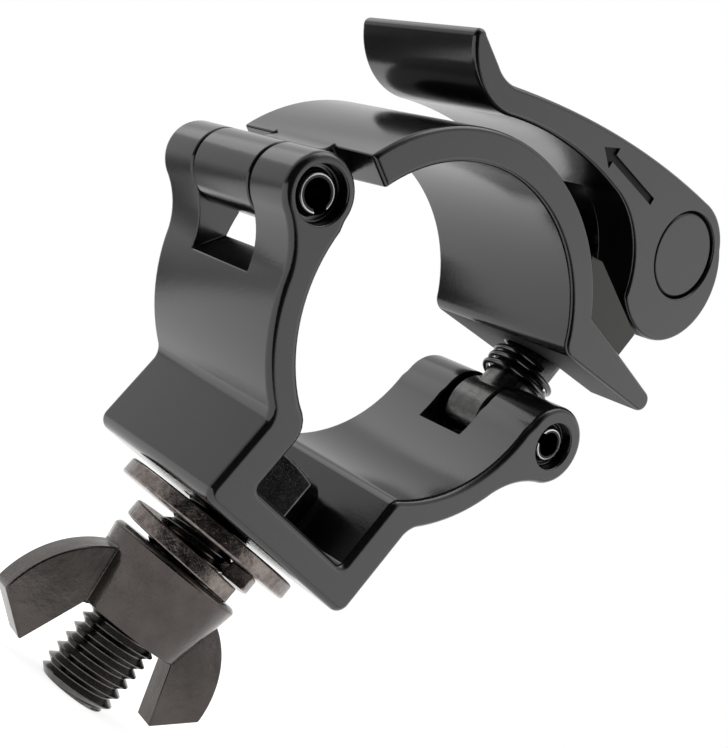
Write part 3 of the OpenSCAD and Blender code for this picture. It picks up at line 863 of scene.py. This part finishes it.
def threaded_rod():
    """A closed rod with a helical thread; its end at z 0 is blunt and the other one chamfered."""
    tree, size = shape_tree("threaded_rod", [
        ("Radius", NUMBER, 6 * MM), ("Length", NUMBER, 30 * MM), ("Pitch", NUMBER, USUAL_PITCH),
        ("Depth", NUMBER, 1 * MM), ("Climb", NUMBER, USUAL_TURNS * USUAL_PITCH),
        ("Chamfer", NUMBER, 1 * MM), ("Steps round", COUNT, STEPS_ROUND),
        ("Steps along", COUNT, USUAL_TURNS * ROWS_A_TURN + END_ROWS)])
    maths = partial(math_node, tree)
    grid = add_node(tree, "GeometryNodeMeshGrid", {
        "Size X": 1, "Size Y": 1, "Vertices X": size["Steps round"], "Vertices Y": size["Steps along"]})
    position = add_node(tree, "GeometryNodeInputPosition").outputs[0]
    place = add_node(tree, "ShaderNodeSeparateXYZ", {0: position}).outputs
    round_share = maths("ADD", place["X"], 0.5)
    along_share = maths("ADD", place["Y"], 0.5)
    row = maths("DIVIDE", 1.0, maths("SUBTRACT", size["Steps along"], 1.0))
    inner = maths("MULTIPLY_ADD", row, -2.0, 1.0)
    inner_share = maths("DIVIDE", maths("SUBTRACT", along_share, row), inner, clamp=True)
    behind = maths("MULTIPLY", maths("SUBTRACT", round_share, 1.0), size["Pitch"])
    helix = maths("ADD", maths("MULTIPLY", inner_share, size["Climb"]), behind)
    z = maths("MINIMUM", maths("MAXIMUM", helix, 0.0), size["Length"])
    turns = maths("SUBTRACT", maths("DIVIDE", z, size["Pitch"]), round_share)
    phase = maths("FRACT", maths("ADD", turns, STAY_POSITIVE + HALF_ROW))
    slope = maths("ABSOLUTE", maths("MULTIPLY_ADD", phase, 2.0, -1.0))
    groove = maths("MULTIPLY_ADD", slope, GROOVE_GAIN, GROOVE_CUT, clamp=True)
    radius = maths("SUBTRACT", size["Radius"], maths("MULTIPLY", groove, size["Depth"]))
    blunt = maths("SUBTRACT", size["Radius"], size["Chamfer"])
    nose = maths("ADD", blunt, maths("SUBTRACT", size["Length"], z))
    radius = maths("MINIMUM", radius, nose)
    after_first = maths("GREATER_THAN", along_share, maths("MULTIPLY", row, 0.5))
    before_last = maths("LESS_THAN", along_share, maths("MULTIPLY_ADD", row, -0.5, 1.0))
    radius = maths("MULTIPLY", radius, maths("MULTIPLY", after_first, before_last))
    angle = maths("MULTIPLY", round_share, 2 * math.pi)
    bent = add_node(tree, "GeometryNodeSetPosition", {
        "Geometry": grid.outputs["Mesh"], "Position": round_axis(tree, radius, angle, z)})
    welded = add_node(tree, "GeometryNodeMergeByDistance", {0: bent.outputs[0], "Distance": WELD})
    return close_tree(tree, welded.outputs[0], size["Metal"])


thread_nodes = threaded_rod()
print("threaded_rod has", len(thread_nodes.nodes), "nodes")

# %% [markdown]
# ## Bolts
# The mounting bolt keeps its head and the top of its shank from the CAD solid. The rest of it is a
# threaded rod of the same diameter. The swing bolt is made in the same way: its eye and the plain
# part of its shank come from the solid, and the top, which screws into the cam barrel, is threaded.
# Solid and thread overlap by a tenth of a millimetre, so no gap can show between them.

# %% Cutting and threading
OVERLAP = 0.1 * MM


def cut_copy(node, name, z, keep_above, material, width):
    """The part of a solid above or below a height, closed with a flat face, with soft edges."""
    shape = merged_copy(node)
    everything = shape.verts[:] + shape.edges[:] + shape.faces[:]
    cut = bmesh.ops.bisect_plane(shape, geom=everything, dist=SLIVER, plane_co=(0, 0, z),
                                 plane_no=(0, 0, 1), clear_inner=keep_above, clear_outer=not keep_above)
    rim = [e for e in cut["geom_cut"] if isinstance(e, bmesh.types.BMEdge)]
    bmesh.ops.holes_fill(shape, edges=rim)
    piece = new_piece(name, shape, material)
    soften(piece, width, hollows=False)
    return piece


def threaded_end(name, x, z_start, z_end, radius, pitch, depth, chamfer):
    """A threaded rod on a bolt's axis from one height to another, up or down."""
    length = abs(z_end - z_start)
    turns = math.ceil(length / pitch) + 1
    piece = grown(name, thread_nodes, {
        "Radius": radius, "Length": length, "Pitch": pitch, "Depth": depth, "Climb": turns * pitch,
        "Chamfer": chamfer, "Steps along": turns * ROWS_A_TURN + END_ROWS,
        "Metal": thread_steel.material})
    place = Matrix.Translation((x, 0, z_start))
    if z_end < z_start:
        place = place @ Matrix.Rotation(math.pi, 4, "X")
    piece.data.transform(place)
    return piece


# %% [markdown]
# The mounting bolt carries the lamp. It is cut just above the foot's underside, where the hole in the
# foot hides the joint, and has the coarse thread of a 12 mm bolt.

# %% The mounting bolt
MOUNTING_THREAD = dict(radius=6.0 * MM, pitch=1.75 * MM, depth=1.05 * MM, chamfer=1.1 * MM)
ABOVE_FOOT, HEAD_EDGE = 0.5 * MM, 0.3

bolt_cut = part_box("clamp_body")[0].z + ABOVE_FOOT
head = cut_copy("mounting_bolt", "mounting_bolt_head", bolt_cut, True, dark_steel.material, HEAD_EDGE)
settle(head, "body", "bolt_steel", "mounting_bolt")
screw = threaded_end("mounting_bolt_thread", middle_of("flat_washer").x, bolt_cut + OVERLAP,
                     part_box("mounting_bolt")[0].z, **MOUNTING_THREAD)
settle(screw, "body", "bolt_steel", "mounting_bolt")

# %% [markdown]
# The swing bolt is thinner, with a finer thread. The joint lies behind the pad, and the thread runs up
# through the barrel, whose box says where the bolt stands.

# %% The swing bolt
SWING_THREAD = dict(radius=5.0 * MM, pitch=1.5 * MM, depth=0.9 * MM, chamfer=1.0 * MM)
EYE_EDGE = 0.4

swing_x = middle_of("cam_barrel_nut").x
swing_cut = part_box("pressure_pad")[0].z
shank = cut_copy("swing_bolt", "swing_bolt_eye", swing_cut, False, dark_steel.material, EYE_EDGE)
settle(shank, "swing", "bolt_steel", "swing_bolt")
rod = threaded_end("swing_bolt_thread", swing_x, swing_cut - OVERLAP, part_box("swing_bolt")[1].z,
                   **SWING_THREAD)
settle(rod, "swing", "bolt_steel", "swing_bolt")

# %% [markdown]
# ## The spring
# A short coil spring round the swing bolt lifts the jaw when the lever lets go. A coil is a curve
# whose angle grows evenly while its height grows, slowly at both ends so that the last turns lie
# flat. A small circle swept along the curve gives the wire. A Screw modifier makes coils too, but
# all at one pitch.

# %% Geometry Nodes: a coil spring
CURVE_POINTS, WIRE_SIDES = 240, 16
EASE, EASE_REST = 0.12, 0.04


def coil_spring():
    """A coil whose last turns lie flatter than those in its middle."""
    tree, size = shape_tree("coil_spring", [
        ("Coil radius", NUMBER, 6 * MM), ("Wire radius", NUMBER, 0.6 * MM), ("Height", NUMBER, 5 * MM),
        ("Turns", NUMBER, 3.5)])
    maths = partial(math_node, tree)
    line = add_node(tree, "GeometryNodeCurvePrimitiveLine").outputs[0]
    fine = add_node(tree, "GeometryNodeResampleCurve", {"Curve": line, "Count": CURVE_POINTS})
    share = add_node(tree, "GeometryNodeSplineParameter").outputs["Factor"]
    angle = maths("MULTIPLY", maths("MULTIPLY", share, size["Turns"]), 2 * math.pi)
    rise = fade(tree, share, -EASE, 1 + EASE, -EASE_REST, 1 + EASE_REST, "SMOOTHSTEP")
    room_inside = maths("MULTIPLY_ADD", size["Wire radius"], -2.0, size["Height"])
    z = maths("ADD", maths("MULTIPLY", rise, room_inside), size["Wire radius"])
    bent = add_node(tree, "GeometryNodeSetPosition", {
        "Geometry": fine.outputs[0], "Position": round_axis(tree, size["Coil radius"], angle, z)})
    wire = add_node(tree, "GeometryNodeCurvePrimitiveCircle", {
        "Resolution": WIRE_SIDES, "Radius": size["Wire radius"]})
    swept = add_node(tree, "GeometryNodeCurveToMesh", {
        "Curve": bent.outputs[0], "Profile Curve": wire.outputs[0], "Fill Caps": True})
    return close_tree(tree, swept.outputs[0], size["Metal"])


# %% [markdown]
# The CAD model has a plain sleeve where the spring is, so the sleeve's box gives the coil its width,
# its height and its place.

# %% The spring on the swing bolt
WIRE_RADIUS, TURNS = 0.55 * MM, 2.7

spring_low, spring_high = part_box("swing_spring")
coil = grown("jaw_spring", coil_spring(), {
    "Coil radius": (spring_high.x - spring_low.x) / 2 - WIRE_RADIUS, "Wire radius": WIRE_RADIUS,
    "Height": spring_high.z - spring_low.z, "Turns": TURNS, "Metal": spring_wire.material})
coil.data.transform(Matrix.Translation((swing_x, 0, spring_low.z)))
settle(coil, "swing", "spring_steel", "swing_spring")
